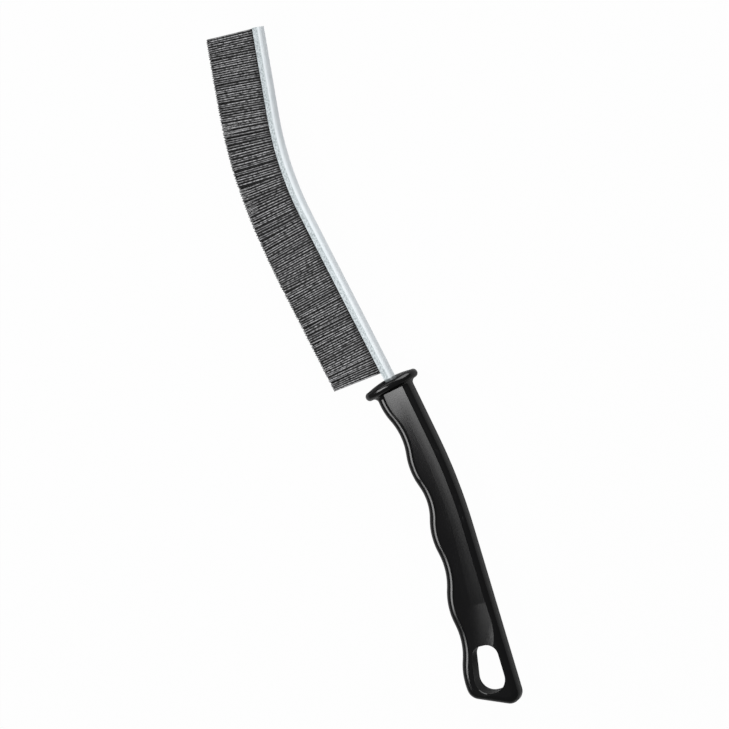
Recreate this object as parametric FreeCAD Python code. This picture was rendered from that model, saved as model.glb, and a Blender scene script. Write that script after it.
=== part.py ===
"""Grout brush: a bent strip of folded bristles held in a moulded handle.

Millimetres and degrees. While it is built, the brush lies flat in the XY plane with the middle of its
guard at the origin: +Y runs along the strip to its tip, -X is the side that the bristles point to,
+X is the back. At the end everything moves so that the origin lies under the middle of the brush.
"""
import math
import os

import FreeCAD
import Part

V = FreeCAD.Vector

# Handle, seen from its side: a back edge that is straight, curves and is straight again
HANDLE_LENGTH = 135.2
HANDLE_THICKNESS = 8.5
NECK_SHIFT = 0.8
NECK_LEAN = 1.4
NECK_STRAIGHT = 25.8
SWEEP_RADIUS = 218.0
SWEEP_TURN = 9.7
EDGE_ROUND = 3.2
END_SLANT = 21.2
END_CORNER_BACK = 4.5
END_CORNER_FINGER = 5.2

# Finger edge: a width that grows towards the end, waved by a row of finger grooves
NECK_WIDTH = 14.0
END_WIDTH = 21.3
GROOVE_DEPTH = 1.06
GROOVE_FIRST = 19.8
GROOVE_PITCH = 28.4

# Hang hole near the end: wider and rounder on the side towards the end
HOLE_END_GAP = 8.0
HOLE_LENGTH = 18.9
HOLE_BACK_WALL = 3.7
HOLE_TOP_WIDTH = 10.1
HOLE_END_WIDTH = 13.6
HOLE_TOP_CORNER = 4.5
HOLE_END_CORNER = 5.8
HOLE_FLARE = 0.4

# Shallow panel on each side face: bevelled walls round a scooped floor. Above the hang hole the
# floor's deepest line starts to rise and leads past the hole, along its finger side
PANEL_BACK_MARGIN = 2.2
PANEL_FINGER_MARGIN = 3.0
PANEL_DEPTH = 0.8
PANEL_SCOOP_RADIUS = 60.0
PANEL_BEVEL = 45.0
PANEL_GUARD_GAP = 0.7
PANEL_RISE_GAP = 16.0
PANEL_END_GAP = 6.3
PANEL_END_DEPTH = 0.15
PANEL_END_SHIFT = 1.5

# Guard: an oval collar with a round rim and a low dome. The oval's ends are arcs of a share of its
# half width, and the rim's rounding is a share of its half thickness
GUARD_OVERHANG = 4.5
GUARD_SIDE_OVERHANG = 3.65
GUARD_RIM = 3.4
GUARD_DOME = 1.2
GUARD_TILT = 1.5
GUARD_FILLET = 1.8
GUARD_END_SHARE = 0.75
GUARD_ROUND_SHARE = 0.97

# Core wire and the bristles folded round it
WIRE_DIAMETER = 1.3
FOLD_THICKNESS = 1.0
FOLD_CLEARANCE = 0.06
FOLD_FACETS = 4
BARE_STRIP = 2.7
BUNDLE_COUNT = 52
BUNDLE_GAP = 0.12
PARTING_LENGTH = 4.0
TIP_THICKNESS = 4.0
REACH_HEEL = 21.7
REACH_BEND = 20.4
REACH_TOE = 20.8
HEEL_LEAN = 6.0
TOE_LEAN = -3.2
LEAN_ZONE = 16.0

# Steel channel folded over them: a U section with its lips pinched in, bent part way along
CHANNEL_WALL = 0.55
CHANNEL_INSIDE_CORNER = 0.65
LIP_PINCH = 0.45
LIP_REACH = 1.08
STRIP_SHIFT = 0.7
TANG_LENGTH = 28.0
LOWER_RUN = 73.2
BEND_RADIUS = 128.0
BEND_ANGLE = 18.6
UPPER_RUN = 34.0
SOCKET_CLEARANCE = 0.1

TOLERANCE = 1e-3
SEAM_STEPS = 4
FILLET_SHARE = 0.9
HALF_THICKNESS = HANDLE_THICKNESS / 2
BACK_OFFSET = NECK_WIDTH / 2 + NECK_SHIFT
SWEEP_LENGTH = SWEEP_RADIUS * math.radians(SWEEP_TURN)
HOLE_END = HANDLE_LENGTH - HOLE_END_GAP
HOLE_TOP = HOLE_END - HOLE_LENGTH
PANEL_RISE = HOLE_TOP - PANEL_RISE_GAP
PANEL_FADE = HANDLE_LENGTH - PANEL_END_GAP
GUARD_WIDTH = NECK_WIDTH + 2 * GUARD_OVERHANG
GUARD_DEPTH = HANDLE_THICKNESS + 2 * GUARD_SIDE_OVERHANG
GUARD_FLAT = (GUARD_WIDTH - GUARD_RIM) / 2
GUARD_SIDE_FLAT = (GUARD_DEPTH - GUARD_RIM) / 2
GUARD_TOP = GUARD_RIM / 2 + GUARD_DOME
WIRE_RADIUS = WIRE_DIAMETER / 2
FOLD_RADIUS = WIRE_RADIUS + FOLD_CLEARANCE + FOLD_THICKNESS
CHANNEL_CORNER = CHANNEL_INSIDE_CORNER + CHANNEL_WALL
CHANNEL_WIDTH = 2 * (FOLD_RADIUS + FOLD_CLEARANCE + LIP_PINCH + CHANNEL_WALL)
CHANNEL_HEIGHT = CHANNEL_WALL + FOLD_CLEARANCE + FOLD_RADIUS + LIP_REACH
CHANNEL_BACK = STRIP_SHIFT + CHANNEL_HEIGHT / 2
CHANNEL_LIP = CHANNEL_BACK - CHANNEL_HEIGHT
WIRE_X = CHANNEL_LIP + LIP_REACH
BEND_LENGTH = BEND_RADIUS * math.radians(BEND_ANGLE)
STRIP_END = LOWER_RUN + BEND_LENGTH + UPPER_RUN
BRISTLE_START = GUARD_TOP + BARE_STRIP


def line(start, end):
    return Part.LineSegment(start, end).toShape()


def arc(start, middle, end):
    return Part.Arc(start, middle, end).toShape()


def closed_wire(edges):
    return Part.Wire(Part.__sortEdges__(edges))


def closed_face(edges):
    return Part.Face(closed_wire(edges))


def ruled_solid(*wires):
    return Part.makeLoft(list(wires), True, True)


def ease(value):
    """0 to 1 with a smooth start and end."""
    value = min(max(value, 0.0), 1.0)
    return value * value * (3 - 2 * value)


def handle_point(along, inward, height=0.0):
    """Point at a distance along the back edge from the guard, and inward from that edge."""
    lean = math.radians(NECK_LEAN)
    heading = V(-math.sin(lean), -math.cos(lean), 0)
    side = V(-math.cos(lean), math.sin(lean), 0)
    start = V(BACK_OFFSET, 0, 0)
    bend_start = start + heading * NECK_STRAIGHT
    if along <= NECK_STRAIGHT:
        return start + heading * along + side * inward + V(0, 0, height)
    turned = lean + min(along - NECK_STRAIGHT, SWEEP_LENGTH) / SWEEP_RADIUS
    turned_side = V(-math.cos(turned), math.sin(turned), 0)
    turned_heading = V(-math.sin(turned), -math.cos(turned), 0)
    point = bend_start + side * SWEEP_RADIUS - turned_side * SWEEP_RADIUS
    past = max(0.0, along - NECK_STRAIGHT - SWEEP_LENGTH)
    return point + turned_heading * past + turned_side * inward + V(0, 0, height)


def grip_width(along):
    """Width of the handle at a distance along its back edge, without the finger grooves."""
    return NECK_WIDTH + (END_WIDTH - NECK_WIDTH) * (along / HANDLE_LENGTH) ** 2


def finger_edge(margin, height):
    """Wave of tangent arcs along the finger edge, moved inward by the margin, and its two end points."""
    half_pitch = GROOVE_PITCH / 2
    before = math.ceil((GROOVE_FIRST - half_pitch / 2) / half_pitch)
    first = GROOVE_FIRST - half_pitch / 2 - before * half_pitch
    count = math.ceil((HANDLE_LENGTH + half_pitch - first) / half_pitch)
    places = [first + i * half_pitch for i in range(count + 1)]
    points = [handle_point(place, grip_width(place), height) for place in places]
    chord = points[1] - points[0]
    swing = 2 * math.atan(2 * GROOVE_DEPTH / chord.Length)
    heading = math.atan2(chord.y, chord.x) + swing * (-1) ** before
    edges = []
    for start, end in zip(points, points[1:]):
        chord = end - start
        along = math.atan2(chord.y, chord.x)
        bulge = heading - along
        radius = chord.Length / (2 * math.sin(bulge))
        centre = start + V(math.sin(heading), -math.cos(heading), 0) * radius
        moved = [centre + (p - centre) * (1 + margin / radius) for p in (start, end)]
        top = centre + V(-math.sin(along), math.cos(along), 0) * (radius + margin)
        edges.append(arc(moved[0], top, moved[1]))
        heading = 2 * along - heading
    return edges, edges[0].firstVertex().Point, edges[-1].lastVertex().Point


def back_edges(first, last, margin, height):
    """Straight, arc and straight of the back edge, moved inward by the margin."""
    sweep_end = NECK_STRAIGHT + SWEEP_LENGTH
    places = [first, NECK_STRAIGHT, NECK_STRAIGHT + SWEEP_LENGTH / 2, sweep_end, last]
    a, b, c, d, e = [handle_point(place, margin, height) for place in places]
    return [line(a, b), arc(b, c, d), line(d, e)]


def plan_face(back_margin, finger_margin, height):
    """Face inside the handle's edges, moved inward by margins and running past both ends."""
    waves, finger_start, finger_end = finger_edge(finger_margin, height)
    past = HANDLE_LENGTH + GROOVE_PITCH
    edges = back_edges(-GROOVE_PITCH, past, back_margin, height) + waves
    edges.append(line(handle_point(past, back_margin, height), finger_end))
    edges.append(line(finger_start, handle_point(-GROOVE_PITCH, back_margin, height)))
    return closed_face(edges)


def plan_block(corners):
    """Upright block over a polygon of places along and inward, taller than the handle is thick."""
    points = [handle_point(along, inward, -HANDLE_THICKNESS) for along, inward in corners]
    return Part.Face(Part.makePolygon(points + points[:1])).extrude(V(0, 0, 2 * HANDLE_THICKNESS))


def before_block(along):
    """Room on the guard's side of a place along the handle."""
    front, low, high = -2 * GROOVE_PITCH, -END_WIDTH, 2 * END_WIDTH
    return plan_block([(front, low), (along, low), (along, high), (front, high)])


def end_block():
    """Room beyond the slanted end of the handle."""
    slant = math.tan(math.radians(END_SLANT))
    past, low, high = HANDLE_LENGTH + 2 * GROOVE_PITCH, -END_WIDTH, 2 * END_WIDTH
    slanted = [(HANDLE_LENGTH - inward * slant, inward) for inward in (low, high)]
    return plan_block([slanted[0], (past, low), (past, high), slanted[1]])


def end_corners(body):
    """Upright edges on the slanted end, from the finger side to the back."""
    side = (handle_point(HANDLE_LENGTH, END_WIDTH) - handle_point(HANDLE_LENGTH, 0)).normalize()
    heading = V(-side.y, side.x, 0)
    slant = math.radians(END_SLANT)
    facing = heading * math.cos(slant) + side * math.sin(slant)
    found = []
    for edge in body.Edges:
        box = edge.BoundBox
        upright = box.ZLength > TOLERANCE and max(box.XLength, box.YLength) < TOLERANCE
        if upright and abs((box.Center - handle_point(HANDLE_LENGTH, 0)).dot(facing)) < TOLERANCE:
            found.append(edge)
    return sorted(found, key=lambda edge: edge.BoundBox.XMin)


def grip_body():
    """The flat grip with rounded end corners and rounded side edges."""
    body = plan_face(0, 0, -HALF_THICKNESS).extrude(V(0, 0, HANDLE_THICKNESS))
    body = body.cut([before_block(0), end_block()])
    body = body.makeFillet(END_CORNER_BACK, end_corners(body)[-1:])
    body = body.makeFillet(END_CORNER_FINGER, end_corners(body)[:1])
    rims = []
    for edge in body.Edges:
        box = edge.BoundBox
        flat = box.ZLength < TOLERANCE and abs(abs(box.ZMin) - HALF_THICKNESS) < TOLERANCE
        at_guard = box.YMin > handle_point(GUARD_RIM / 2, 0).y
        if flat and not at_guard:
            rims.append(edge)
    return body.makeFillet(EDGE_ROUND, rims)


def guard_oval(grow, height):
    """Oval of four tangent arcs round the strip's line, grown on all sides."""
    end_radius = GUARD_END_SHARE * GUARD_SIDE_FLAT
    end_centre = GUARD_FLAT - end_radius
    rest = end_centre ** 2 + GUARD_SIDE_FLAT ** 2 - end_radius ** 2
    side_radius = rest / (2 * (GUARD_SIDE_FLAT - end_radius))
    turn = math.atan2(side_radius - GUARD_SIDE_FLAT, end_centre)
    x = end_centre + (end_radius + grow) * math.cos(turn)
    z = (end_radius + grow) * math.sin(turn)
    joints = [V(x, height, z), V(-x, height, z), V(-x, height, -z), V(x, height, -z)]
    end, side = V(GUARD_FLAT + grow, 0, 0), V(0, 0, GUARD_SIDE_FLAT + grow)
    middles = [V(0, height, 0) + way for way in (side, -end, -side, end)]
    return closed_face([arc(joints[i], middles[i], joints[(i + 1) % 4]) for i in range(4)])


def guard_dome():
    """Low dome on the collar: an arc across the oval, turned about an axis across the oval."""
    rim = GUARD_RIM / 2
    low, high = V(0, 0, GUARD_SIDE_FLAT), V(0, rim, GUARD_SIDE_FLAT)
    far_low, far_high = V(0, 0, -GUARD_SIDE_FLAT), V(0, rim, -GUARD_SIDE_FLAT)
    edges = [line(far_low, low), line(low, high), line(far_high, far_low)]
    section = closed_face(edges + [arc(high, V(0, GUARD_TOP, 0), far_high)])
    turn_radius = (GUARD_FLAT ** 2 + GUARD_DOME ** 2) / (2 * GUARD_DOME)
    turn = math.degrees(math.asin(GUARD_FLAT / turn_radius))
    axis = V(0, GUARD_TOP - turn_radius, 0)
    section.rotate(axis, V(0, 0, 1), -turn)
    lens = section.revolve(axis, V(0, 0, 1), 2 * turn)
    return lens.common(guard_oval(0, 0).extrude(V(0, GUARD_TOP, 0)))


def guard():
    """Oval collar with a rounded rim and a low dome."""
    rim = GUARD_RIM / 2
    collar = guard_oval(rim, -rim).extrude(V(0, GUARD_RIM, 0))
    edges = [edge for edge in collar.Edges if edge.BoundBox.YLength < TOLERANCE]
    collar = collar.makeFillet(GUARD_ROUND_SHARE * rim, edges).fuse(guard_dome())
    collar.rotate(V(0, 0, 0), V(0, 0, 1), GUARD_TILT)
    return collar


def guard_height(point):
    """Height of a point above the guard's middle plane."""
    tilt = math.radians(GUARD_TILT)
    return point.dot(V(-math.sin(tilt), math.cos(tilt), 0))


def neck_seam(shape):
    """Edges where the grip meets the underside of the guard."""
    seam = []
    for edge in shape.Edges:
        first = edge.FirstParameter
        step = (edge.LastParameter - first) / SEAM_STEPS
        points = [edge.valueAt(first + step * i) for i in range(SEAM_STEPS + 1)]
        on_underside = all(abs(guard_height(p) + GUARD_RIM / 2) < TOLERANCE for p in points)
        on_grip = all(abs(p.z) < HALF_THICKNESS + TOLERANCE for p in points)
        if on_underside and on_grip:
            seam.append(edge)
    return seam


def panel_section():
    """Section of the room above the panel's floor where the back edge starts to curve."""
    middle, half = NECK_WIDTH / 2, END_WIDTH / 2
    low = HALF_THICKNESS - PANEL_DEPTH
    high = low + PANEL_SCOOP_RADIUS - math.sqrt(PANEL_SCOOP_RADIUS ** 2 - half ** 2)
    corners = [(-half, high + HANDLE_THICKNESS), (-half, high), (half, high), (half, high + HANDLE_THICKNESS)]
    a, b, c, d = [handle_point(NECK_STRAIGHT, middle + shift, height) for shift, height in corners]
    floor = arc(b, handle_point(NECK_STRAIGHT, middle, low), c)
    return closed_face([line(a, b), floor, line(c, d), line(d, a)])


def panel_room():
    """Room above the panel's floor, swept along the handle: neck, curve, grip and the rise past the hole."""
    first, curve_end = GUARD_RIM / 2 + PANEL_GUARD_GAP, NECK_STRAIGHT + SWEEP_LENGTH
    section = panel_section()
    neck = section.extrude(handle_point(first, 0) - handle_point(NECK_STRAIGHT, 0))
    curve_centre, curve_axis = handle_point(NECK_STRAIGHT, SWEEP_RADIUS), V(0, 0, -1)
    curve = section.revolve(curve_centre, curve_axis, SWEEP_TURN)
    section.rotate(curve_centre, curve_axis, SWEEP_TURN)
    end_inward = grip_width(PANEL_FADE) - PANEL_FINGER_MARGIN - PANEL_END_SHIFT
    grip_start = handle_point(curve_end, NECK_WIDTH / 2)
    rise_start = handle_point(PANEL_RISE, grip_width(PANEL_RISE) / 2)
    rise_end = handle_point(PANEL_FADE, end_inward, PANEL_DEPTH - PANEL_END_DEPTH)
    grip = section.extrude(rise_start - grip_start)
    rise = section.translated(rise_start - grip_start).extrude(rise_end - rise_start)
    return neck.fuse([curve, grip, rise])


def panel_cut():
    """Space of the panel on the upper face: the room above its floor, inside the bevelled walls."""
    run = PANEL_DEPTH * math.tan(math.radians(PANEL_BEVEL))
    low = plan_face(PANEL_BACK_MARGIN + run, PANEL_FINGER_MARGIN + run, HALF_THICKNESS - PANEL_DEPTH)
    high = plan_face(PANEL_BACK_MARGIN - run, PANEL_FINGER_MARGIN - run, HALF_THICKNESS + PANEL_DEPTH)
    return ruled_solid(low.OuterWire, high.OuterWire).common(panel_room())


def rounded_corner(before, corner, after, radius):
    """Arc that rounds a corner, as its start, middle and end points."""
    to_before = (before - corner).normalize()
    to_after = (after - corner).normalize()
    half = to_before.getAngle(to_after) / 2
    bisector = (to_before + to_after).normalize()
    centre = corner + bisector * (radius / math.sin(half))
    tangent = radius / math.tan(half)
    return corner + to_before * tangent, centre - bisector * radius, corner + to_after * tangent


def hole_outline(grow, height):
    """Rounded outline of the hang hole, grown on all sides."""
    top = HOLE_TOP - grow
    end = HOLE_END + grow
    back = HOLE_BACK_WALL - grow
    corners = [
        (top, back, HOLE_TOP_CORNER),
        (end, back, HOLE_END_CORNER),
        (end, HOLE_BACK_WALL + HOLE_END_WIDTH + grow, HOLE_END_CORNER),
        (top, HOLE_BACK_WALL + HOLE_TOP_WIDTH + grow, HOLE_TOP_CORNER),
    ]
    points = [handle_point(along, inward, height) for along, inward, _ in corners]
    rounds = []
    for i, (_, _, radius) in enumerate(corners):
        rounds.append(rounded_corner(points[i - 1], points[i], points[(i + 1) % 4], radius + grow))
    edges = []
    for i, (start, middle, end_point) in enumerate(rounds):
        edges.append(arc(start, middle, end_point))
        edges.append(line(end_point, rounds[(i + 1) % 4][0]))
    return closed_wire(edges)


def hole_cut():
    """The hang hole with a small flare at both faces."""
    top = HALF_THICKNESS
    below = top - HOLE_FLARE
    above = top + HOLE_FLARE
    straight = Part.Face(hole_outline(0, -above)).extrude(V(0, 0, 2 * above))
    upper = ruled_solid(hole_outline(0, below), hole_outline(2 * HOLE_FLARE, above))
    lower = ruled_solid(hole_outline(0, -below), hole_outline(2 * HOLE_FLARE, -above))
    return straight.fuse([upper, lower])


def channel_line(offset):
    """Line of the channel's section from lip to lip over its back, offset from its outside."""
    half = CHANNEL_WIDTH / 2 + offset
    back = CHANNEL_BACK + offset
    radius = CHANNEL_CORNER + offset
    corner = back - radius
    slant = radius * math.sqrt(0.5)
    lip_half = half - LIP_PINCH

    def rounded(side):
        middle = V(corner + slant, 0, side * (half - radius + slant))
        return arc(V(corner, 0, side * half), middle, V(back, 0, side * (half - radius)))

    return [
        line(V(CHANNEL_LIP, 0, lip_half), V(corner, 0, half)),
        rounded(1),
        line(V(back, 0, half - radius), V(back, 0, radius - half)),
        rounded(-1),
        line(V(corner, 0, -half), V(CHANNEL_LIP, 0, -lip_half)),
    ]


def channel_section():
    """Closed section of the channel: its outer line, its inner line and the two lips."""
    outer_lip = CHANNEL_WIDTH / 2 - LIP_PINCH
    inner_lip = outer_lip - CHANNEL_WALL
    edges = channel_line(0) + channel_line(-CHANNEL_WALL)
    for side in (1, -1):
        edges.append(line(V(CHANNEL_LIP, 0, side * outer_lip), V(CHANNEL_LIP, 0, side * inner_lip)))
    return closed_face(edges)


def along_strip(section):
    """Sweeps a section in the XZ plane along the strip: straight, bend and straight."""
    bend_centre = V(BEND_RADIUS, LOWER_RUN, 0)
    turn_axis = V(0, 0, -1)
    lower = section.translated(V(0, -TANG_LENGTH, 0)).extrude(V(0, TANG_LENGTH + LOWER_RUN, 0))
    at_bend = section.translated(V(0, LOWER_RUN, 0))
    bend = at_bend.revolve(bend_centre, turn_axis, BEND_ANGLE)
    at_upper = at_bend.copy()
    at_upper.rotate(bend_centre, turn_axis, BEND_ANGLE)
    turn = math.radians(BEND_ANGLE)
    upper = at_upper.extrude(V(math.sin(turn), math.cos(turn), 0) * UPPER_RUN)
    return lower.fuse([bend, upper]).removeSplitter()


def wire_section():
    circle = Part.Circle(V(WIRE_X, 0, 0), V(0, 1, 0), WIRE_RADIUS)
    return Part.Face(Part.Wire(circle.toShape()))


def socket_cut():
    """Blind slot for the channel's tang, open at the guard's dome."""
    lip_half = CHANNEL_WIDTH / 2 + SOCKET_CLEARANCE - LIP_PINCH
    low = CHANNEL_LIP - SOCKET_CLEARANCE
    edges = channel_line(SOCKET_CLEARANCE)
    for side in (1, -1):
        edges.append(line(V(CHANNEL_LIP, 0, side * lip_half), V(low, 0, side * lip_half)))
    edges.append(line(V(low, 0, lip_half), V(low, 0, -lip_half)))
    section = closed_face(edges).translated(V(0, -TANG_LENGTH, 0))
    return section.extrude(V(0, TANG_LENGTH + 2 * GUARD_TOP, 0))


def handle():
    """The whole moulding: grip, guard, side panels, hang hole and socket."""
    body = grip_body().fuse(guard())
    ledge = min(GUARD_FLAT - BACK_OFFSET, GUARD_SIDE_FLAT - HALF_THICKNESS)
    body = body.makeFillet(min(GUARD_FILLET, FILLET_SHARE * ledge), neck_seam(body))
    upper_panel = panel_cut()
    lower_panel = upper_panel.mirror(V(0, 0, 0), V(0, 0, 1))
    return body.cut([upper_panel, lower_panel, hole_cut(), socket_cut()])


def strip_frame(along):
    """Point on the strip's line, its direction there and the way that the bristles point."""
    turned = min(max(along - LOWER_RUN, 0.0), BEND_LENGTH) / BEND_RADIUS
    direction = V(math.sin(turned), math.cos(turned), 0)
    outward = V(-math.cos(turned), math.sin(turned), 0)
    if along <= LOWER_RUN:
        return V(0, along, 0), direction, outward
    point = V(BEND_RADIUS * (1 - math.cos(turned)), LOWER_RUN + BEND_RADIUS * math.sin(turned), 0)
    past = max(0.0, along - LOWER_RUN - BEND_LENGTH)
    return point + direction * past, direction, outward


def bristle_reach(along):
    """How far the bristles reach from the strip's line: trimmed shorter round the bend."""
    bend_middle = LOWER_RUN + BEND_LENGTH / 2
    if along < bend_middle:
        return REACH_HEEL + (REACH_BEND - REACH_HEEL) * ease(1 - (bend_middle - along) / BEND_LENGTH)
    return REACH_BEND + (REACH_TOE - REACH_BEND) * ease((along - bend_middle) / BEND_LENGTH)


def bristle_lean(along):
    """The outermost bristles lean in from both ends of the bank."""
    heel = max(0.0, 1 - (along - BRISTLE_START) / LEAN_ZONE)
    toe = max(0.0, 1 - (STRIP_END - along) / LEAN_ZONE)
    return math.radians(HEEL_LEAN * heel ** 2 + TOE_LEAN * toe ** 2)


def bundle_station(along):
    """Turns a place out from the strip's line and up from its middle into a point of the bank."""
    point, direction, outward = strip_frame(along)
    lean = bristle_lean(along)
    leaning = outward * math.cos(lean) + direction * math.sin(lean)
    return lambda out, up: point + leaning * out + V(0, 0, up)


def fold_points(at, radius):
    """Corner points of a half turn round the wire, from its upper to its lower side."""
    turns = [math.pi * i / FOLD_FACETS for i in range(FOLD_FACETS + 1)]
    return [at(-WIRE_X - radius * math.sin(turn), radius * math.cos(turn)) for turn in turns]


def bundle_skin(along):
    """Outer line of a bundle: folded over the wire, then spreading to the tips."""
    at = bundle_station(along)
    reach = bristle_reach(along)
    tip = TIP_THICKNESS / 2
    legs = [at(-CHANNEL_LIP, -FOLD_RADIUS), at(reach, -tip), at(reach, tip), at(-CHANNEL_LIP, FOLD_RADIUS)]
    points = fold_points(at, FOLD_RADIUS) + legs
    return Part.makePolygon(points + points[:1])


def bundle_parting(along):
    """Inner line of a bundle: round the wire, closing where its two halves meet."""
    at = bundle_station(along)
    clear_of_wire = (WIRE_RADIUS + FOLD_CLEARANCE) / math.cos(math.pi / FOLD_FACETS / 2)
    points = fold_points(at, clear_of_wire) + [at(PARTING_LENGTH - WIRE_X, 0)]
    return Part.makePolygon(points + points[:1])


def bristle_bundle(first, last):
    """One bundle of the bank between two places along the strip."""
    skin = ruled_solid(bundle_skin(first), bundle_skin(last))
    return skin.cut(ruled_solid(bundle_parting(first), bundle_parting(last)))


def brush_pieces():
    pieces = {"handle": handle()}
    pieces["channel"] = along_strip(channel_section())
    pieces["core_wire"] = along_strip(wire_section())
    pitch = (STRIP_END - BRISTLE_START) / BUNDLE_COUNT
    for i in range(BUNDLE_COUNT):
        first = BRISTLE_START + i * pitch + BUNDLE_GAP / 2
        pieces[f"bristle_bundle_{i + 1:02d}"] = bristle_bundle(first, first + pitch - BUNDLE_GAP)
    return pieces


def main():
    pieces = brush_pieces()
    box = Part.makeCompound(list(pieces.values())).optimalBoundingBox(False, False)
    under_middle = V(-(box.XMin + box.XMax) / 2, -(box.YMin + box.YMax) / 2, -box.ZMin)
    os.makedirs("parts", exist_ok=True)
    for name, shape in pieces.items():
        shape.translate(under_middle)
        shape.exportStep(f"parts/{name}.step")
    print(f"{len(pieces)} pieces, {box.XLength:.1f} x {box.YLength:.1f} x {box.ZLength:.1f} mm")
    print(f"guard middle at {under_middle.x:.2f}, {under_middle.y:.2f}, {under_middle.z:.2f}")


main()
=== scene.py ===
# %% [markdown]
# # A grout brush, dressed for its picture
# The brush is a bent strip of folded nylon bristles in a steel channel, held in a glossy moulded handle.
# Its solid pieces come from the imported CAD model, which is the fixed frame for everything here.
# CAD pieces keep their shape and get a finish. Only the bristles are made new, because a solid block
# can show where the bank of bristles is, but not the many fine strands that the eye expects.

# %% The fixed frame
import bisect
import math
import random

import bpy
from mathutils import Matrix, Vector


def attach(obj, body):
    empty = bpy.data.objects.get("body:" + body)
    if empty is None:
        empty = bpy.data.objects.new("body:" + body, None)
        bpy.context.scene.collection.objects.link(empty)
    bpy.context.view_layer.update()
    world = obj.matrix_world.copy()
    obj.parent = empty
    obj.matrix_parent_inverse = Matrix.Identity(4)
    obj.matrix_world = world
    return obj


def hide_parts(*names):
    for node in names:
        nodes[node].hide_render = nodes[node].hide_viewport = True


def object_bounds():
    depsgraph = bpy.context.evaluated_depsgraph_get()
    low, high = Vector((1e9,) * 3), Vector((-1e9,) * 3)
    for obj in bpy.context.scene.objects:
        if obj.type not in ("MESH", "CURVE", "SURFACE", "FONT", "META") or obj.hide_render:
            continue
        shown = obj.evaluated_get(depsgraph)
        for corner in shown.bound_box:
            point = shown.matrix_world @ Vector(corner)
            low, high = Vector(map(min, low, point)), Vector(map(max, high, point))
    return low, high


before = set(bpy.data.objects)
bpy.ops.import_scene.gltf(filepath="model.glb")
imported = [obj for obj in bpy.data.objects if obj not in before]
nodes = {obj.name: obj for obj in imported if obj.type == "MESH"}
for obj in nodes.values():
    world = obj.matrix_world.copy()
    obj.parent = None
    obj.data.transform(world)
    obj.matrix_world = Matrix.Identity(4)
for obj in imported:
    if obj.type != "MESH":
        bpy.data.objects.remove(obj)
cad_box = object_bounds()
MM = 0.001
cad_corners = [[round(v / MM, 1) for v in corner] for corner in cad_box]
print("frame:", len(nodes), "CAD pieces, box in mm:", cad_corners)

# %% [markdown]
# ## Small helpers
# Colours are written as sRGB hex values, as a colour picker shows them. Blender's shaders calculate in
# linear light, so one function converts them. Another adds a shader node with its settings and links,
# which keeps the material cells short enough to read as recipes. The last two start a material and give
# it to a CAD piece, whose mesh stays as it is.

# %% Helpers for colours, shader nodes and materials
def linear(hex_colour):
    """Turns an sRGB hex colour into linear RGBA."""
    channels = [int(hex_colour[i:i + 2], 16) / 255 for i in (1, 3, 5)]
    return [c / 12.92 if c <= 0.04045 else ((c + 0.055) / 1.055) ** 2.4 for c in channels] + [1.0]


def add_node(tree, kind, settings=None, inputs=None):
    """Adds a node; an input is a plain value, or an output socket of another node to link."""
    node = tree.nodes.new(kind)
    for name, value in (settings or {}).items():
        setattr(node, name, value)
    for name, value in (inputs or {}).items():
        if isinstance(value, bpy.types.NodeSocket):
            tree.links.new(value, node.inputs[name])
        else:
            node.inputs[name].default_value = value
    return node


def new_material(name):
    """An empty node material and its node tree."""
    material = bpy.data.materials.new(name)
    material.use_nodes = True
    material.node_tree.nodes.clear()
    return material, material.node_tree


def finish_node(name, material):
    """Gives a CAD piece its finish."""
    mesh = nodes[name].data
    mesh.materials.clear()
    mesh.materials.append(material)


print("helpers ready; white is", linear("#FFFFFF"), "in linear light")

# %% [markdown]
# ## The camera
# The brush lies on its side and is seen from above and a little from its back. A long lens keeps the
# perspective gentle. The camera is set by what it aims at, how far away it is, its two angles and its
# roll, because those are the values that a photographer would change.

# %% Camera
AIM = Vector((-1.47, 1.34, 7.90)) * MM
DISTANCE = 1134.0 * MM
AZIMUTH = math.radians(-4.5)
ELEVATION = math.radians(70.0)
ROLL = math.radians(-112.9)
SENSOR_WIDTH = 36.0
LENS = 144.8

toward_camera = Vector((
    math.cos(ELEVATION) * math.cos(AZIMUTH),
    math.cos(ELEVATION) * math.sin(AZIMUTH),
    math.sin(ELEVATION),
))
level_right = Vector((-math.sin(AZIMUTH), math.cos(AZIMUTH), 0))
level_up = toward_camera.cross(level_right)
camera_right = level_right * math.cos(ROLL) + level_up * math.sin(ROLL)
camera_up = toward_camera.cross(camera_right)

camera_data = bpy.data.cameras.new("camera")
camera_data.lens = LENS
camera_data.sensor_width = SENSOR_WIDTH
camera = bpy.data.objects.new("camera", camera_data)
turn = Matrix((camera_right, camera_up, toward_camera)).transposed()
camera.matrix_world = Matrix.Translation(AIM + toward_camera * DISTANCE) @ turn.to_4x4()
bpy.context.scene.collection.objects.link(camera)
bpy.context.scene.camera = camera
print("camera at", [round(v / MM) for v in camera.matrix_world.translation], "mm")

# %% [markdown]
# ## The floor
# The brush lies on white studio paper. Paper lit until it turns white would also flood the brush with
# light, so the paper glows white for the camera alone. Black gloss plastic would mirror that glow as a
# grey veil, so mirror reflections see only a little of it. The rest is plain matt paper, which keeps a
# faint soft shadow under the brush and throws some light back onto the channel and the handle's edge.
# The sheet is far larger than real paper, so that low views don't see past its edge.

# %% Floor
FLOOR_SIZE = 30.0
CAMERA_GLOW = 0.98
MIRROR_GLOW = 0.02

half = FLOOR_SIZE / 2
corners = [(-half, -half, 0), (half, -half, 0), (half, half, 0), (-half, half, 0)]
floor_mesh = bpy.data.meshes.new("floor")
floor_mesh.from_pydata(corners, [], [(0, 1, 2, 3)])
floor = bpy.data.objects.new("floor", floor_mesh)
bpy.context.scene.collection.objects.link(floor)

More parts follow.
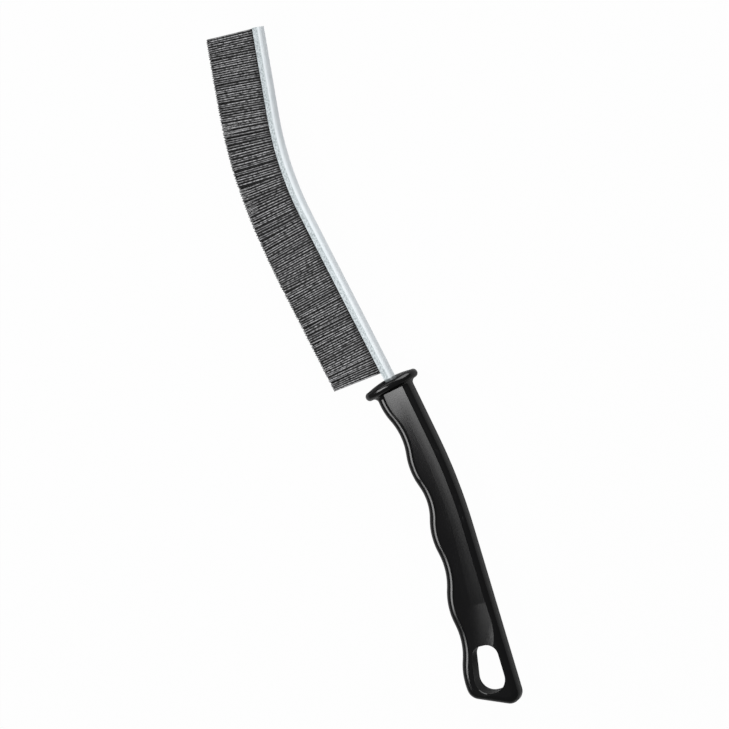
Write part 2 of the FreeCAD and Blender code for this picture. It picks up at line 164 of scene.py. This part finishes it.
paper, tree = new_material("studio_paper")
paths = add_node(tree, "ShaderNodeLightPath")
mirrored = add_node(tree, "ShaderNodeMath", {"operation": "MAXIMUM"},
                    {0: paths.outputs["Is Glossy Ray"], 1: paths.outputs["Is Transmission Ray"]})
mirrored = add_node(tree, "ShaderNodeMath", {"operation": "MULTIPLY"},
                    {0: mirrored.outputs[0], 1: MIRROR_GLOW})
share = add_node(tree, "ShaderNodeMath", {"operation": "MULTIPLY_ADD"},
                 {0: paths.outputs["Is Camera Ray"], 1: CAMERA_GLOW, 2: mirrored.outputs[0]})
matt = add_node(tree, "ShaderNodeBsdfDiffuse", None, {"Color": linear("#B4B4B4")})
glow = add_node(tree, "ShaderNodeEmission", None, {"Color": (1, 1, 1, 1), "Strength": 1.0})
mix = add_node(tree, "ShaderNodeMixShader", None,
               {0: share.outputs[0], 1: matt.outputs[0], 2: glow.outputs[0]})
add_node(tree, "ShaderNodeOutputMaterial", None, {"Surface": mix.outputs[0]})
floor_mesh.materials.append(paper)
print("floor:", FLOOR_SIZE, "m square")

# %% [markdown]
# ## The lamps
# Black gloss shows its form only by the lamps that it mirrors, so each lamp has a job. The key lamp draws
# the bright line along the finger side, the wing lamp beside it is the dim streak in the scooped panel,
# and the small neck lamp is the grey patch below the guard. Two lamps beyond the toe light the steel and
# the bristles, from places that the handle's long faces don't mirror towards the camera.

# %% Lamps
WORLD_LEVEL = 0.12


def soft_box(name, place, target, size, power):
    """A rectangular studio lamp that points at a target; place, target and size in mm, power in W."""
    data = bpy.data.lights.new(name, "AREA")
    data.shape = "RECTANGLE"
    data.size = size[0] * MM
    data.size_y = size[1] * MM
    data.energy = power
    lamp = bpy.data.objects.new(name, data)
    position = Vector(place) * MM
    aim = Vector(target) * MM - position
    lamp.matrix_world = Matrix.Translation(position) @ aim.to_track_quat("-Z", "Y").to_matrix().to_4x4()
    lamp.visible_camera = False
    bpy.context.scene.collection.objects.link(lamp)


soft_box("key_lamp", (-650, 145, 747), (0, 0, 0), (510, 300), 3.4)
soft_box("wing_lamp", (-425, 175, 893), (0, 25, 0), (460, 230), 1.05)
soft_box("neck_lamp", (-57, 8, 165), (5, -20, 12), (42, 70), 0.057)
soft_box("toe_lamp", (-330, 900, 640), (0, 40, 0), (700, 500), 1.5)
soft_box("toe_back_lamp", (700, 720, 600), (0, 40, 0), (1000, 1100), 14.5)

world = bpy.data.worlds.new("studio")
world.use_nodes = True
world.node_tree.nodes["Background"].inputs["Color"].default_value = (1, 1, 1, 1)
world.node_tree.nodes["Background"].inputs["Strength"].default_value = WORLD_LEVEL
bpy.context.scene.world = world
bpy.context.scene.view_settings.view_transform = "Standard"

# %% [markdown]
# ## Handle: moulded black polypropylene
# The handle is one injection moulding from a polished mould. Its black is deep, and what the eye sees is
# gloss: clear reflections that soften a little where the plastic shrank unevenly. A flat black would
# look like card, so two noises do the work: a wide one varies the gloss, and a fine one is the faint
# grain that keeps the reflections from looking like glass.

# %% Handle finish
SHRINK_SIZE = 14.0
GRAIN_SIZE = 0.5

plastic, tree = new_material("moulded_black_polypropylene")
place = add_node(tree, "ShaderNodeTexCoord").outputs["Object"]
shrink = add_node(tree, "ShaderNodeTexNoise", None,
                  {"Vector": place, "Scale": 1 / (SHRINK_SIZE * MM), "Detail": 2.0})
grain = add_node(tree, "ShaderNodeTexNoise", None,
                 {"Vector": place, "Scale": 1 / (GRAIN_SIZE * MM), "Detail": 3.0})
gloss = add_node(tree, "ShaderNodeMapRange", None,
                 {"Value": shrink.outputs["Fac"], "To Min": 0.14, "To Max": 0.19})
bump = add_node(tree, "ShaderNodeBump", None,
                {"Height": grain.outputs["Fac"], "Strength": 0.05, "Distance": 0.05 * MM})
surface = add_node(tree, "ShaderNodeBsdfPrincipled", None, {
    "Base Color": linear("#0C0C0D"),
    "Roughness": gloss.outputs[0],
    "IOR": 1.49,
    "Normal": bump.outputs[0],
})
add_node(tree, "ShaderNodeOutputMaterial", None, {"Surface": surface.outputs[0]})
finish_node("handle", plastic)
print("handle finish:", plastic.name)

# %% [markdown]
# ## The strip's line
# Channel, wire and bristles all follow one line: straight out of the guard, round a bend, and straight
# on. The values are those of the CAD model, so whatever follows the line lies where the CAD pieces are.
# They are repeated here, because the frame holds only the finished solids. A place on the line is given
# by its distance along it, which keeps the strands evenly spaced in the bend.

# %% Strip line, in mm
GUARD_MIDDLE = Vector((4.58, -10.48, 7.90))
LOWER_RUN = 73.2
BEND_RADIUS = 128.0
BEND_ANGLE = math.radians(18.6)
UPPER_RUN = 34.0
BEND_LENGTH = BEND_RADIUS * BEND_ANGLE
STRIP_END = LOWER_RUN + BEND_LENGTH + UPPER_RUN
BEND_CENTRE = GUARD_MIDDLE + Vector((BEND_RADIUS, LOWER_RUN, 0))


def strip_frame(along):
    """Point on the strip's line, its direction and the way that the bristles point."""
    turned = min(max(along - LOWER_RUN, 0.0), BEND_LENGTH) / BEND_RADIUS
    direction = Vector((math.sin(turned), math.cos(turned), 0))
    outward = Vector((-math.cos(turned), math.sin(turned), 0))
    straight = min(along, LOWER_RUN) - LOWER_RUN + max(0.0, along - LOWER_RUN - BEND_LENGTH)
    return BEND_CENTRE + outward * BEND_RADIUS + direction * straight, direction, outward


print("strip ends at", [round(v, 1) for v in strip_frame(STRIP_END)[0]], "mm")

# %% [markdown]
# ## Channel: rolled galvanised steel
# The channel is folded from thin galvanised strip. Zinc is a pale blue-grey metal with a soft, patchy
# gloss. The rolls that crimp its lips onto the bristles leave them dented, and a crease runs where the
# crimped wall meets the smooth back. Lips and crease follow the strip round its bend, so the shader
# first unrolls the bend: it turns each point back about the bend's centre, by no more than the bend's
# angle. After that, a place across the strip is one plain number.

# %% Unrolled strip coordinates
def across_strip(tree, place):
    """Socket with a point's distance from the bend's centre, as if the strip were straight."""
    from_centre = add_node(tree, "ShaderNodeVectorMath", {"operation": "SUBTRACT"},
                           {0: place, 1: BEND_CENTRE * MM}).outputs[0]
    split = add_node(tree, "ShaderNodeSeparateXYZ", None, {0: from_centre})
    inward = add_node(tree, "ShaderNodeMath", {"operation": "MULTIPLY"}, {0: split.outputs["X"], 1: -1.0})
    angle = add_node(tree, "ShaderNodeMath", {"operation": "ARCTAN2"},
                     {0: split.outputs["Y"], 1: inward.outputs[0]})
    turned = add_node(tree, "ShaderNodeClamp", None,
                      {"Value": angle.outputs[0], "Min": 0.0, "Max": BEND_ANGLE})
    unrolled = add_node(tree, "ShaderNodeVectorRotate", {"rotation_type": "Z_AXIS"},
                        {"Vector": from_centre, "Angle": turned.outputs[0]})
    return add_node(tree, "ShaderNodeSeparateXYZ", None, {0: unrolled.outputs[0]}).outputs["X"]


print("unrolling a bend of", round(BEND_LENGTH, 1), "mm")

# %% [markdown]
# ### Lips and crease
# With that number, two ramps mark the channel's zones: one is 1 on the crimped lips and 0 on the back, and
# the other peaks at the crease between them and paints a darker line there, as painted shade in the
# crease. Painted vertices could mark them too, but the CAD mesh has too few vertices for a fine line,
# and it stays as it is.

# %% Zones of the channel, in mm
CHANNEL_BACK = 2.4
CHANNEL_CORNER = 1.2
CREASE_PLACE = CHANNEL_BACK - CHANNEL_CORNER
CREASE_WIDTH = 0.16
# How dark the painted shade along the crease is.
CREASE_SHADE = 0.6

zinc, tree = new_material("rolled_galvanised_steel")
place = add_node(tree, "ShaderNodeTexCoord").outputs["Object"]
across = across_strip(tree, place)
crease_at = (CREASE_PLACE - BEND_RADIUS) * MM
lip = add_node(tree, "ShaderNodeMapRange", None, {
    "Value": across,
    "From Min": crease_at - CREASE_WIDTH * MM,
    "From Max": crease_at,
    "To Min": 1.0,
    "To Max": 0.0,
})
from_crease = add_node(tree, "ShaderNodeMath", {"operation": "SUBTRACT"}, {0: across, 1: crease_at})
from_crease = add_node(tree, "ShaderNodeMath", {"operation": "ABSOLUTE"}, {0: from_crease.outputs[0]})
crease = add_node(tree, "ShaderNodeMapRange", None, {
    "Value": from_crease.outputs[0],
    "From Max": CREASE_WIDTH * MM,
    "To Min": CREASE_SHADE,
    "To Max": 0.0,
})
print("crease", CREASE_PLACE, "mm behind the strip's line,", CREASE_WIDTH, "mm to each side")

# %% [markdown]
# ### Zinc
# A zinc coat freezes in crystals a few millimetres wide, the spangle, which vary its tint and gloss a
# little. Its own dull oxide hides most of the mirror, so it is only slightly metallic. The dents of the
# lips are far under a tenth of a millimetre deep, too shallow to model. A noise paints their hollows
# darker as painted shade, and a bump lets them catch the light. The lips' tint is also painted darker
# than the back's, as painted shade that offsets the lamps lighting the lips' face more than the back.

# %% Channel finish
DENT_SIZE = 0.7
SPANGLE_SIZE = 3.0

dents = add_node(tree, "ShaderNodeTexNoise", None,
                 {"Vector": place, "Scale": 1 / (DENT_SIZE * MM), "Detail": 2.0})
spangle = add_node(tree, "ShaderNodeTexVoronoi", None, {"Vector": place, "Scale": 1 / (SPANGLE_SIZE * MM)})
# The lips' tint: its dark end is painted shade in the dent hollows, and the whole ramp is painted darker
# than the back's tint to offset the stronger light on the lips.
lip_tint_and_shade = add_node(tree, "ShaderNodeValToRGB", None, {"Fac": dents.outputs["Fac"]})
lip_tint_and_shade.color_ramp.elements[0].position = 0.36
lip_tint_and_shade.color_ramp.elements[0].color = linear("#969FA2")
lip_tint_and_shade.color_ramp.elements[1].position = 0.58
lip_tint_and_shade.color_ramp.elements[1].color = linear("#C3CBCE")
smooth_tint = add_node(tree, "ShaderNodeValToRGB", None, {"Fac": spangle.outputs["Distance"]})
smooth_tint.color_ramp.elements[0].color = linear("#E9EEF1")
smooth_tint.color_ramp.elements[1].color = linear("#DFE6EA")
# In a Mix node for colours, input 0 is the share, 6 and 7 are the two colours, and output 2 is the result.
tint = add_node(tree, "ShaderNodeMix", {"data_type": "RGBA"},
                {0: lip.outputs[0], 6: smooth_tint.outputs[0], 7: lip_tint_and_shade.outputs[0]})
# The darker blue-grey along the crease is painted shade.
tint = add_node(tree, "ShaderNodeMix", {"data_type": "RGBA"},
                {0: crease.outputs[0], 6: tint.outputs[2], 7: linear("#8F9B9A")})
relief = add_node(tree, "ShaderNodeMath", {"operation": "MULTIPLY"},
                  {0: dents.outputs["Fac"], 1: lip.outputs[0]})
bump = add_node(tree, "ShaderNodeBump", None,
                {"Height": relief.outputs[0], "Strength": 0.4, "Distance": 0.06 * MM})
dull = add_node(tree, "ShaderNodeMapRange", None,
                {"Value": spangle.outputs["Distance"], "To Min": 0.46, "To Max": 0.58})
surface = add_node(tree, "ShaderNodeBsdfPrincipled", None, {
    "Base Color": tint.outputs[2],
    "Metallic": 0.15,
    "Roughness": dull.outputs[0],
    "Normal": bump.outputs[0],
})
add_node(tree, "ShaderNodeOutputMaterial", None, {"Surface": surface.outputs[0]})
finish_node("channel", zinc)
print("channel finish:", zinc.name)

# %% [markdown]
# ## Core wire: drawn steel
# The wire that the bristles are folded round is hidden in the channel, apart from its cut end. Drawing
# it through a die leaves fine streaks along it. At this size they only vary the gloss, so a noise on the
# roughness is enough.

# %% Wire finish
STREAK_SIZE = 0.4

wire_steel, tree = new_material("drawn_steel_wire")
place = add_node(tree, "ShaderNodeTexCoord").outputs["Object"]
streak = add_node(tree, "ShaderNodeTexNoise", None, {"Vector": place, "Scale": 1 / (STREAK_SIZE * MM)})
dull = add_node(tree, "ShaderNodeMapRange", None,
                {"Value": streak.outputs["Fac"], "To Min": 0.3, "To Max": 0.45})
surface = add_node(tree, "ShaderNodeBsdfPrincipled", None, {
    "Base Color": linear("#B9BCBE"),
    "Metallic": 1.0,
    "Roughness": dull.outputs[0],
})
add_node(tree, "ShaderNodeOutputMaterial", None, {"Surface": surface.outputs[0]})
finish_node("core_wire", wire_steel)
print("wire finish:", wire_steel.name)

# %% [markdown]
# ## The bank of bristles
# The bank's outline is the CAD model's: how far the bristles reach from the strip, and how the outermost
# ones lean in at both ends. A hair system could draw strands, but it gives no mesh that lies exactly in
# this outline, so each strand is worked out from its place along the strip.

# %% Outline of the bank, in mm
BRISTLE_START = 5.6
REACH_HEEL = 21.7
REACH_BEND = 20.4
REACH_TOE = 20.8
HEEL_LEAN = math.radians(6.0)
TOE_LEAN = math.radians(-3.2)
LEAN_ZONE = 16.0


def ease(value):
    """0 to 1 with a smooth start and end."""
    value = min(max(value, 0.0), 1.0)
    return value * value * (3 - 2 * value)


def bristle_reach(along):
    """How far the bristles reach from the strip's line."""
    bend_middle = LOWER_RUN + BEND_LENGTH / 2
    if along < bend_middle:
        return REACH_HEEL + (REACH_BEND - REACH_HEEL) * ease(1 - (bend_middle - along) / BEND_LENGTH)
    return REACH_BEND + (REACH_TOE - REACH_BEND) * ease((along - bend_middle) / BEND_LENGTH)


def bristle_lean(along):
    """The outermost bristles lean in from both ends of the bank."""
    heel = max(0.0, 1 - (along - BRISTLE_START) / LEAN_ZONE)
    toe = max(0.0, 1 - (STRIP_END - along) / LEAN_ZONE)
    return HEEL_LEAN * heel ** 2 + TOE_LEAN * toe ** 2


print("bank of bristles:", round(STRIP_END - BRISTLE_START, 1), "mm long")

# %% [markdown]
# ## Clumps
# Nylon takes a set in the packet, so the strands gather into loose clumps whose tips lean to one side.
# Without them the bank would look combed. Each side of the bank gets its own row of clumps, and a strand
# looks up the clump that it grows in. The random numbers have a fixed seed, so every run is the same.

# %% Clumps along the bank, in mm
CLUMP_WIDTHS = (2.5, 8.0)
CLUMP_LEAN = 0.27
CLUMP_PULL = 0.05

draw = random.Random(7)


def clump_row():
    """Edges of the clumps along one side of the bank, and how far each clump leans at its tips."""
    edges = [BRISTLE_START]
    while edges[-1] < STRIP_END:
        edges.append(edges[-1] + draw.uniform(*CLUMP_WIDTHS))
    return edges, [draw.gauss(0, CLUMP_LEAN) for _ in edges]


clumps = {1: clump_row(), -1: clump_row()}


def clump_drift(along, side):
    """How far a strand's tip is carried along the strip by its clump."""
    edges, leans = clumps[side]
    number = min(max(bisect.bisect(edges, along) - 1, 0), len(edges) - 2)
    middle = (edges[number] + edges[number + 1]) / 2
    return leans[number] + (middle - along) * CLUMP_PULL


print("clumps:", [len(edges) - 1 for edges, leans in clumps.values()])

# %% [markdown]
# ## One folded strand
# A real strand is about 0.25 mm thick, folded in half round the wire, so it has two legs. In the picture
# such strands would be finer than a pixel and melt into flat grey, so they are drawn coarser, 0.44 mm
# thick. Each leg strays a little from its neighbours in length, lean, bow and height. LEG_STAGES says where
# its rings of vertices lie, from 0 at the wire to 1 at the tip, and the ring close to the tip keeps the
# flat cut end from shading the whole leg.

# %% One leg, in mm
FILAMENT = 0.44
END_MARGIN = 0.12
KEEP_IN = FILAMENT / 2 + END_MARGIN
WIRE_BEHIND = 0.08
CUT_SPREAD = 0.08
STRAY_SPREAD = 0.06
BOW_SPREAD = 0.05
TIP_SPREAD = 0.06
DRIFT_POWER = 1.6
LEG_STAGES = (0.0, 0.2, 0.45, 0.72, 0.985, 1.0)


def leg_points(along, layer, side):
    """Points of one leg from the wire to its cut tip."""
    fold_radius = layer["fold_radius"]
    point, direction, outward = strip_frame(along)
    lean = bristle_lean(along)
    leaning = outward * math.cos(lean) + direction * math.sin(lean)
    reach = bristle_reach(along) - abs(draw.gauss(0, CUT_SPREAD))
    drift = (clump_drift(along, side) + draw.gauss(0, STRAY_SPREAD)) * layer["sway"]
    drift = min(max(drift, BRISTLE_START + KEEP_IN - along), STRIP_END - KEEP_IN - along)
    bow = draw.gauss(0, BOW_SPREAD)
    tip = layer["tip_height"] - abs(draw.gauss(0, TIP_SPREAD))
    points = []
    for t in LEG_STAGES:
        out = -WIRE_BEHIND + (reach + WIRE_BEHIND) * t
        up = side * (fold_radius + (tip - fold_radius) * t)
        sideways = drift * t ** DRIFT_POWER + bow * math.sin(math.pi * t)
        points.append(point + leaning * out + direction * sideways + Vector((0, 0, up)))
    return points


print("leg:", len(LEG_STAGES), "points")

# %% [markdown]
# ### The fold
# Round the wire the strand makes half a turn, which joins its two legs into one line of points. A second
# list says how much painted sheen the strand gets at each point: none in the fold, none at the roots,
# which is a painted shadow of the channel's lips, most along the open length, and a little less at the
# tips.

# %% Folded strand
FOLD_STEPS = 4
# Painted light along a leg: 0 at the root is painted shadow under the channel's lips, 1 is painted sheen,
# and the tips get a little less.
LEG_PAINTED_LIGHT = (0.0, 1.0, 1.0, 1.0, 0.75, 0.75)
STRAND_PAINTED_LIGHT = LEG_PAINTED_LIGHT[::-1] + (0.0,) * (FOLD_STEPS - 1) + LEG_PAINTED_LIGHT


def folded_strand(along, layer):
    """Points of one strand: a leg, the half turn round the wire, and the other leg."""
    point, _, outward = strip_frame(along)
    fold = []
    for i in range(1, FOLD_STEPS):
        angle = math.pi * i / FOLD_STEPS
        back = -WIRE_BEHIND - layer["fold_radius"] * math.sin(angle)
        fold.append(point + outward * back + Vector((0, 0, layer["fold_radius"] * math.cos(angle))))
    return leg_points(along, layer, 1)[::-1] + fold + leg_points(along, layer, -1)


print("strand:", len(STRAND_PAINTED_LIGHT), "points")

# %% [markdown]
# ## Strands as a mesh
# Each strand becomes a thin six-sided tube. Its rings are laid out from the strip's direction, which is
# square to the fold, so the tube never twists. Curves with a round bevel would do as well, but hundreds
# of them convert slowly, and one mesh for a run of bundles stays light to export.

# %% Tubes along the strands
STRAND_SIDES = 6


def add_tube(points, along, vertices, faces):
    """Adds a closed thin tube along points to lists of vertices and faces."""
    sideways = strip_frame(along)[1]
    rings = []
    for i, point in enumerate(points):
        ahead = points[min(i + 1, len(points) - 1)] - points[max(i - 1, 0)]
        upward = ahead.cross(sideways).normalized()
        ring = []
        for k in range(STRAND_SIDES):
            angle = 2 * math.pi * k / STRAND_SIDES
            ring.append(len(vertices))
            spoke = sideways * math.cos(angle) + upward * math.sin(angle)
            vertices.append((point + spoke * FILAMENT / 2) * MM)
        rings.append(ring)
    for a, b in zip(rings, rings[1:]):
        for k in range(STRAND_SIDES):
            after = (k + 1) % STRAND_SIDES
            faces.append((a[k], b[k], b[after], a[after]))
    faces.append(tuple(rings[0]))
    faces.append(tuple(reversed(rings[-1])))


print("tubes with", STRAND_SIDES, "sides")

# %% [markdown]
# ## Bristle finish: extruded black nylon
# Nylon filament is extruded, so it is smooth and has a satin gloss. Inside the bank the strands are
# painted deep black as painted shade, and the outer strands are painted grey as painted sheen, so they
# look grey beside the black gaps between them. How much painted sheen a strand gets is stored with its
# vertices, and a random value per strand varies its tint and gloss. A strand that is evenly grey along
# its length would look like a drawn line, so a noise with patches of about a millimetre breaks it up.

# %% Nylon finish
SHEEN_PATCH = 1.2

nylon, tree = new_material("extruded_black_nylon")
strand = add_node(tree, "ShaderNodeNewGeometry").outputs["Random Per Island"]
# The vertex value read here is painted light: 1 paints the strand grey as painted sheen, 0 leaves it black
# as painted shade.
painted_light = add_node(tree, "ShaderNodeAttribute", {"attribute_name": "painted_light"}).outputs["Fac"]
varied = add_node(tree, "ShaderNodeMapRange", None, {"Value": strand, "To Min": 0.5, "To Max": 1.0})
depth = add_node(tree, "ShaderNodeMath", {"operation": "MULTIPLY"}, {0: painted_light, 1: varied.outputs[0]})
place = add_node(tree, "ShaderNodeTexCoord").outputs["Object"]
patches = add_node(tree, "ShaderNodeTexNoise", None,
                   {"Vector": place, "Scale": 1 / (SHEEN_PATCH * MM), "Detail": 1.0})
patchy_sheen = add_node(tree, "ShaderNodeMapRange", None, {
    "Value": patches.outputs["Fac"],
    "From Min": 0.3,
    "From Max": 0.7,
    "To Min": 0.1,
    "To Max": 1.4,
})
depth = add_node(tree, "ShaderNodeMath", {"operation": "MULTIPLY"},
                 {0: depth.outputs[0], 1: patchy_sheen.outputs[0]})
# Black to grey: painted shade inside the bank, painted sheen on the outer strands.
tint = add_node(tree, "ShaderNodeValToRGB", None, {"Fac": depth.outputs[0]})
tint.color_ramp.elements[0].color = linear("#0B0B0C")
tint.color_ramp.elements[1].color = linear("#AEAEB0")
shine = add_node(tree, "ShaderNodeMapRange", None, {"Value": strand, "To Min": 0.55, "To Max": 0.46})
surface = add_node(tree, "ShaderNodeBsdfPrincipled", None, {
    "Base Color": tint.outputs["Color"],
    "Roughness": shine.outputs[0],
    "IOR": 1.53,
})
add_node(tree, "ShaderNodeOutputMaterial", None, {"Surface": surface.outputs[0]})
print("bristle finish:", nylon.name)

# %% [markdown]
# ## Filling the bank
# The strands lie in three layers round the wire. The outer layer is spaced so that dark gaps show between
# its strands, as they do on the real brush. The inner layers are denser and sway less, so that no slit
# lets the floor show through the bank. Four CAD bundles at a time become one piece, which replaces them.

# %% The bristle pieces
BUNDLES = 52
BUNDLES_PER_PIECE = 4
PLACE_SPREAD = 0.09
# Each layer's last value is painted light: the outer layer is painted grey as painted sheen, the inner
# layers stay black as painted shade inside the bank.
LAYERS = (
    {"fold_radius": 1.49, "tip_height": 1.78, "spacing": 0.90, "sway": 1.0, "painted_light": 1.0},
    {"fold_radius": 1.08, "tip_height": 0.95, "spacing": 0.46, "sway": 0.3, "painted_light": 0.0},
    {"fold_radius": 0.93, "tip_height": 0.32, "spacing": 0.46, "sway": 0.1, "painted_light": 0.0},
)


def bristle_piece(name, start, end):
    """A run of the bank as one mesh of folded strands."""
    vertices, faces, painted_light = [], [], []
    for layer in LAYERS:
        count = round((end - start) / layer["spacing"])
        for i in range(count):
            along = start + (end - start) * (i + 0.5) / count
            along += draw.gauss(0, PLACE_SPREAD) * layer["sway"]
            along = min(max(along, BRISTLE_START + KEEP_IN), STRIP_END - KEEP_IN)
            add_tube(folded_strand(along, layer), along, vertices, faces)
            # Each point's painted light is its layer's value times its share along the strand.
            painted_light += [layer["painted_light"] * light_share for light_share in STRAND_PAINTED_LIGHT for _ in range(STRAND_SIDES)]
    mesh = bpy.data.meshes.new(name)
    mesh.from_pydata(vertices, [], faces)
    mesh.attributes.new("painted_light", "FLOAT", "POINT").data.foreach_set("value", painted_light)
    for polygon in mesh.polygons:
        polygon.use_smooth = len(polygon.vertices) == 4
    mesh.materials.append(nylon)
    return mesh


bundle_pitch = (STRIP_END - BRISTLE_START) / BUNDLES
for first in range(0, BUNDLES, BUNDLES_PER_PIECE):
    last = min(first + BUNDLES_PER_PIECE, BUNDLES)
    name = f"bristles_{first + 1:02d}_{last:02d}"
    mesh = bristle_piece(name, BRISTLE_START + bundle_pitch * first, BRISTLE_START + bundle_pitch * last)
    piece = bpy.data.objects.new(name, mesh)
    bpy.context.scene.collection.objects.link(piece)
    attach(piece, "root")
    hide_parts(*[f"bristle_bundle_{i + 1:02d}" for i in range(first, last)])
    print(name, "with", len(mesh.polygons), "faces")

# %% [markdown]
# ## Size
# The dressed brush has to fit the CAD model's box; the last line brings the scene up to date.

# %% Sizes
bpy.context.view_layer.update()
